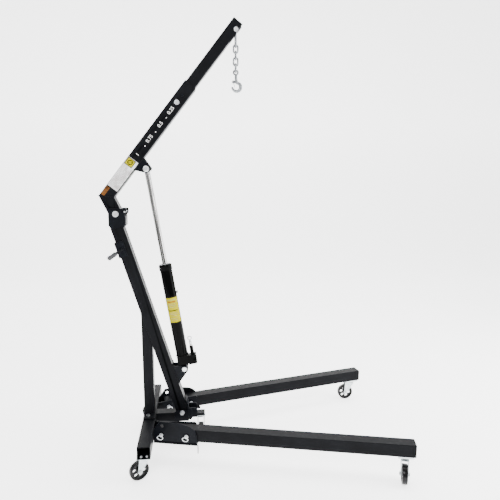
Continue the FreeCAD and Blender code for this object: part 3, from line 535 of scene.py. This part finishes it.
LABEL_LOW, LABEL_HIGH = 0.2440, 0.3800
LABEL_RADIUS = 0.0292
barrel_patch("ram_label_border", LABEL_LOW, LABEL_HIGH, -76, 76, LABEL_RADIUS, INK)
barrel_patch("ram_label_field", LABEL_LOW + 0.005, LABEL_HIGH - 0.005, -68, 68,
             LABEL_RADIUS + 0.00012, YELLOW)
for index, (height, arc, width, ink) in enumerate((
    (0.3640, 50, 0.0016, GREY_INK), (0.3545, 44, 0.0046, RED_INK), (0.3440, 36, 0.0014, GREY_INK),
    (0.3360, 42, 0.0014, GREY_INK), (0.3280, 30, 0.0014, GREY_INK), (0.3100, 50, 0.0040, INK),
    (0.2990, 38, 0.0014, GREY_INK), (0.2910, 44, 0.0014, GREY_INK), (0.2830, 28, 0.0014, GREY_INK),
    (0.2700, 40, 0.0014, GREY_INK), (0.2620, 34, 0.0014, GREY_INK),
)):
    barrel_patch("ram_label_bar_%d" % index, height - width / 2, height + width / 2, -arc, arc * 0.9,
                 LABEL_RADIUS + 0.00022, ink)


# ------------------------------------------------------------------ boom labels and load scale
FACE = 0.03


def boom_label(name, shapes, materials):
    """Flat pieces on the boom's right face: (x0, x1, z0, z1, corner, material index, lift) each."""
    bm = bmesh.new()
    for x0, x1, z0, z1, corner, index, lift in shapes:
        slab(bm, x0, x1, z0, z1, -(FACE + lift), index, corner)
    bmesh.ops.recalc_face_normals(bm, faces=bm.faces)
    for face in bm.faces:
        if face.normal.y > 0:
            face.normal_flip()
    mesh = bpy.data.meshes.new(name)
    bm.to_mesh(mesh)
    bm.free()
    for material in materials:
        mesh.materials.append(material)
    mesh.transform(BOOM)
    obj = bpy.data.objects.new(name, mesh)
    bpy.context.collection.objects.link(obj)
    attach(obj, "boom")


# Rows of plain bars in place of print, broken into uneven lengths.
plate_shapes = [(0.048, 0.213, -0.026, 0.0275, 0.002, 0, 0.00012)]
for row in range(9):
    z = 0.0215 - row * 0.0052
    x = 0.056
    for part in range(4):
        length = (0.034, 0.022, 0.029, 0.018, 0.026)[(row * 3 + part * 2) % 5]
        if x + length > 0.172:
            break
        plate_shapes.append((x, x + length, z - 0.0008, z + 0.0008, 0.0, 1, 0.00022))
        x += length + 0.0045
plate_shapes += [
    (0.1740, 0.2115, -0.0150, 0.0265, 0.0015, 2, 0.00022),
    (0.1775, 0.2080, -0.0115, 0.0230, 0.0012, 3, 0.00034),
]
boom_label("boom_rating_plate", plate_shapes, (SILVER, GREY_INK, INK, YELLOW))
# Emblem on the plate: a plain black wheel with four spokes.
emblem_bm = bmesh.new()
EMBLEM = Vector((0.19275, -(FACE + 0.00046), 0.00575))


def emblem_face(points):
    """Flat face through (radius, angle) points round the emblem's middle."""
    emblem_bm.faces.new([
        emblem_bm.verts.new(EMBLEM + Vector((radius * math.cos(angle), 0.0, radius * math.sin(angle))))
        for radius, angle in points
    ])


RIM_STEPS = 40
for k in range(RIM_STEPS):
    a, b = 2 * math.pi * k / RIM_STEPS, 2 * math.pi * (k + 1) / RIM_STEPS
    emblem_face(((0.0125, a), (0.0125, b), (0.0085, b), (0.0085, a)))
for k in range(4):
    a = math.pi / 2 * k + 0.5
    emblem_face(((0.0088, a - 0.2), (0.0088, a + 0.2), (0.0012, a)))
emblem = new_object("boom_plate_emblem", emblem_bm, INK, BOOM)
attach(emblem, "boom")
boom_label("boom_small_label", [
    (-0.004, 0.041, 0.0095, 0.0265, 0.0015, 0, 0.00012),
    (0.000, 0.037, 0.0205, 0.0222, 0.0, 1, 0.00022),
    (0.000, 0.030, 0.0165, 0.0176, 0.0, 1, 0.00022),
    (0.000, 0.034, 0.0130, 0.0141, 0.0, 1, 0.00022),
], (ORANGE, INK))


def load_figure(text, along):
    """Plain number painted on the boom's right face, reading up the boom."""
    curve = bpy.data.curves.new("figure", "FONT")
    curve.body = text
    curve.size = 0.0165 * 1.38
    curve.align_x = "CENTER"
    curve.align_y = "CENTER"
    curve.offset = 0.00008
    curve.extrude = 0.00005
    source = bpy.data.objects.new("figure_source", curve)
    bpy.context.collection.objects.link(source)
    depsgraph = bpy.context.evaluated_depsgraph_get()
    mesh = bpy.data.meshes.new_from_object(source.evaluated_get(depsgraph))
    bpy.data.objects.remove(source)
    mesh.materials.clear()
    mesh.materials.append(WHITE)
    mesh.transform(BOOM @ Matrix.Translation((along, -(FACE + 0.00015), 0.0)) @ FACING_RIGHT)
    obj = bpy.data.objects.new("load_figure_" + text.replace(".", "_"), mesh)
    bpy.context.collection.objects.link(obj)
    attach(obj, "boom")


for text, along in (("0.25", 0.4960), ("0.5", 0.4160), ("0.75", 0.3340), ("1", 0.2430)):
    load_figure(text, along)

# Thin painted lips round the three free load holes.
HOLE_LIP = [(0.0050, 0.0), (0.0062, 0.0), (0.0059, 0.0002), (0.0052, 0.0003), (0.0048, -0.0008),
            (0.0050, 0.0)]
for index in range(1, 4):
    along = 0.5415 - 0.0825 * index
    for side, label in SIDES:
        turn = Matrix.Rotation(math.radians(90.0 * -side), 4, "X")
        lathe("hole_rim_%d_%s" % (index, label), HOLE_LIP, BRACKET,
              BOOM @ Matrix.Translation((along, side * FACE, 0.0)) @ turn, 32, "boom")

# ------------------------------------------------------------------ casters
HUB_SEAL = [(0.0064, 0.0080), (0.0064, 0.01395), (0.0072, 0.0142), (0.0104, 0.0141), (0.0112, 0.0134),
            (0.0112, 0.0080)]
RIM_RING = [(0.0362, 0.0090), (0.0362, 0.0117), (0.0370, 0.0124), (0.0384, 0.0125), (0.0392, 0.0118),
            (0.0392, 0.0090)]
AXLE_END = [(0.0, 0.0238), (0.0028, 0.0237), (0.0038, 0.0231), (0.0040, 0.0222), (0.0040, 0.0215)]
# Pressed rings under and over the swivel plate, as (radius, height past the plate).
BEARING_SKIRT = [(0.0195, -0.0004), (0.0212, -0.0006), (0.0226, -0.0016), (0.0230, -0.0030),
                 (0.0224, -0.0043), (0.0205, -0.0046), (0.0195, -0.0040), (0.0195, -0.0004)]
RACE_BEAD = [(0.0190, 0.0004), (0.0212, 0.0006), (0.0222, 0.0020), (0.0222, 0.0036), (0.0210, 0.0048),
             (0.0190, 0.0050), (0.0190, 0.0004)]
PLATE_HEIGHT = 0.111
CENTRE_PLATE_HEIGHT = 0.154
PLATE_BODIES = {"front_right": "leg_right", "front_left": "leg_left"}
joints = {joint["name"]: joint for joint in frame["joints"]}

for joint in frame["joints"]:
    if not joint["name"].startswith("spin_"):
        continue
    name = joint["name"][len("spin_"):]
    hub = Vector(joint["pos_m"])
    axis = Vector(joint["axis"]).normalized()
    kingpin = Vector(joints["swivel_" + name]["pos_m"])
    for side, label in ((-1, "b"), (1, "a")):
        place = Matrix.Translation(hub) @ (axis * side).to_track_quat("Z", "Y").to_matrix().to_4x4()
        lathe("hub_seal_%s_%s" % (name, label), HUB_SEAL, ZINC, place, 36, "wheel_" + name)
        lathe("rim_ring_%s_%s" % (name, label), RIM_RING, WHEEL, place, 64, "wheel_" + name)
        lathe("axle_end_%s_%s" % (name, label), AXLE_END, BARE, place, 24, "swivel_" + name)
    top = CENTRE_PLATE_HEIGHT if name == "centre" else PLATE_HEIGHT
    race = Matrix.Translation((kingpin.x, kingpin.y, top))
    lathe("bearing_skirt_" + name, BEARING_SKIRT, FORK_ZINC, race, 48, "swivel_" + name)
    lathe("race_bead_" + name, RACE_BEAD, FORK_ZINC, race, 48, PLATE_BODIES.get(name, "base"))

# ------------------------------------------------------------------ hook
EYE = Vector(joints["hook_swing"]["pos_m"]) + Vector((0.0, 0.0, 0.0083 - 0.0100))
hook_bm = bmesh.new()
BOWL = Vector((0.005, 0.0, -0.065))
path = [Vector((0.0015, 0.0, -0.0095)), Vector((0.0010, 0.0, -0.0200)), Vector((0.0015, 0.0, -0.0300)),
        Vector((0.0035, 0.0, -0.0390))]
widths = [0.0066, 0.0062, 0.0064, 0.0070]
# The bowl: thickest at its lowest point, thinning towards the tip.
for k in range(29):
    turn = math.radians(98.0 - 273.0 * k / 28)
    swell = 0.0066 + 0.0014 * math.sin(math.pi * min(1.0, k / 22.0))
    if k > 22:
        swell = 0.0066 - 0.0022 * (k - 22) / 6.0
    reach_out = 0.0260 - swell
    path.append(BOWL + Vector((math.cos(turn), 0.0, math.sin(turn))) * reach_out)
    widths.append(swell)
path.append(path[-1] + (path[-1] - path[-2]).normalized() * 0.0028)
widths.append(0.0022)
sweep_into(hook_bm, path, widths, 20)
eye_path = [Vector((0.0100 * math.cos(a), 0.0, 0.0100 * math.sin(a)))
            for a in (2 * math.pi * k / 40 for k in range(40))]
sweep_into(hook_bm, eye_path, 0.0040, 14, closed=True)
# Two ears on the hook's back, with the latch's pivot through them.
for y in (-0.0075, 0.0050):
    ear = bmesh.ops.create_cube(hook_bm, size=1.0)["verts"]
    bmesh.ops.scale(hook_bm, vec=(0.0165, 0.0025, 0.0100), verts=ear)
    bmesh.ops.translate(hook_bm, vec=(-0.00825, y + 0.00125, -0.0420), verts=ear)
sweep_into(hook_bm, [(-0.0115, -0.0085, -0.0420), (-0.0115, 0.0085, -0.0420)], 0.0020, 16)
hook_piece = new_object("forged_hook", hook_bm, CHAIN, Matrix.Translation(EYE), 50.0)
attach(hook_piece, "hook")
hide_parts("hook")

# ------------------------------------------------------------------ pin keeper hanging from the right bracket
keeper_bm = bmesh.new()
keeper_at = Vector((0.2402, -0.2130, 0.1115))
keeper_path = [keeper_at + Vector(p) for p in (
    (-0.0060, 0.0, 0.0020), (-0.0020, 0.0, 0.0022), (0.0006, 0.0, 0.0006), (0.0012, 0.0, -0.0030),
    (0.0013, 0.0, -0.0200), (0.0010, 0.0, -0.0400))]
sweep_into(keeper_bm, keeper_path, 0.0022, 12)
keeper = new_object("pin_keeper_rod", keeper_bm, SATIN)
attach(keeper, "base")

# ------------------------------------------------------------------ stage
# Floor that curves up into a backdrop behind the crane.
CURVE_START = 3.2
CURVE_RADIUS = 2.2
HALF_WIDTH = 9.0
floor_bm = bmesh.new()
profile = [(-7.0, 0.0), (CURVE_START, 0.0)]
for k in range(1, 13):
    a = math.radians(90.0 * k / 12)
    profile.append((CURVE_START + CURVE_RADIUS * math.sin(a), CURVE_RADIUS - CURVE_RADIUS * math.cos(a)))
profile.append((CURVE_START + CURVE_RADIUS, 7.0))
rows = [[floor_bm.verts.new((x, y, z)) for x in (-HALF_WIDTH, HALF_WIDTH)] for y, z in profile]
for low, high in zip(rows, rows[1:]):
    floor_bm.faces.new((low[0], low[1], high[1], high[0]))
stage_nodes = Nodes("pale_studio_floor")
stage_nodes.set("Base Color", stage_nodes.grey_ramp(stage_nodes.noise(3.0), 0.93, 0.95))
stage_nodes.set("Roughness", 0.9)
stage_nodes.set("Specular IOR Level", 0.1)
stage_nodes.set("Emission Color", (1.0, 1.0, 1.0))
stage_nodes.set("Emission Strength", 2.6)
floor = new_object("studio_floor", floor_bm, stage_nodes.material, Matrix.Translation((0, 0, -0.0005)))
floor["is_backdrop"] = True

world = bpy.data.worlds.new("studio")
bpy.context.scene.world = world
world.use_nodes = True
background = world.node_tree.nodes["Background"]
background.inputs["Color"].default_value = (1.0, 1.0, 1.0, 1.0)
background.inputs["Strength"].default_value = 0.35


def area_light(name, at, target, size_x, size_y, power):
    """White rectangular light at a point, turned towards target."""
    data = bpy.data.lights.new(name, "AREA")
    data.shape = "RECTANGLE"
    data.size = size_x
    data.size_y = size_y
    data.energy = power
    obj = bpy.data.objects.new(name, data)
    obj.location = at
    obj.rotation_euler = (Vector(target) - Vector(at)).to_track_quat("-Z", "Y").to_euler()
    bpy.context.collection.objects.link(obj)


area_light("key_right", (3.4, -0.5, 1.9), (0.1, 0.0, 1.0), 2.2, 2.8, 200.0)
area_light("overhead", (0.4, 0.5, 4.2), (0.4, 0.6, 0.0), 3.6, 2.2, 190.0)
area_light("front_fill", (-0.8, -3.4, 3.6), (0.0, 0.0, 1.7), 1.6, 1.6, 150.0)

# ------------------------------------------------------------------ camera
# Focal length in pixels of a 500 pixel wide frame.
FOCAL_PIXELS = 466.9
CAMERA_AT = (0.2667, -2.2689, 1.3919)
camera_data = bpy.data.cameras.new("camera")
camera_data.sensor_width = 36.0
camera_data.lens = FOCAL_PIXELS / 500.0 * camera_data.sensor_width
camera_data.clip_start = 0.05
camera_data.clip_end = 60.0
camera = bpy.data.objects.new("camera", camera_data)
bpy.context.collection.objects.link(camera)
yaw, pitch, roll = math.radians(6.13), math.radians(9.36), math.radians(0.18)
forward = Vector((
    math.sin(yaw) * math.cos(pitch), math.cos(yaw) * math.cos(pitch), -math.sin(pitch)))
right = forward.cross(Vector((0.0, 0.0, 1.0))).normalized()
up = right.cross(forward)
turned_right = right * math.cos(roll) + up * math.sin(roll)
turned_up = up * math.cos(roll) - right * math.sin(roll)
camera.matrix_world = Matrix((
    (turned_right.x, turned_up.x, -forward.x, CAMERA_AT[0]),
    (turned_right.y, turned_up.y, -forward.y, CAMERA_AT[1]),
    (turned_right.z, turned_up.z, -forward.z, CAMERA_AT[2]),
    (0.0, 0.0, 0.0, 1.0),
))
bpy.context.scene.camera = camera

low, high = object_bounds()
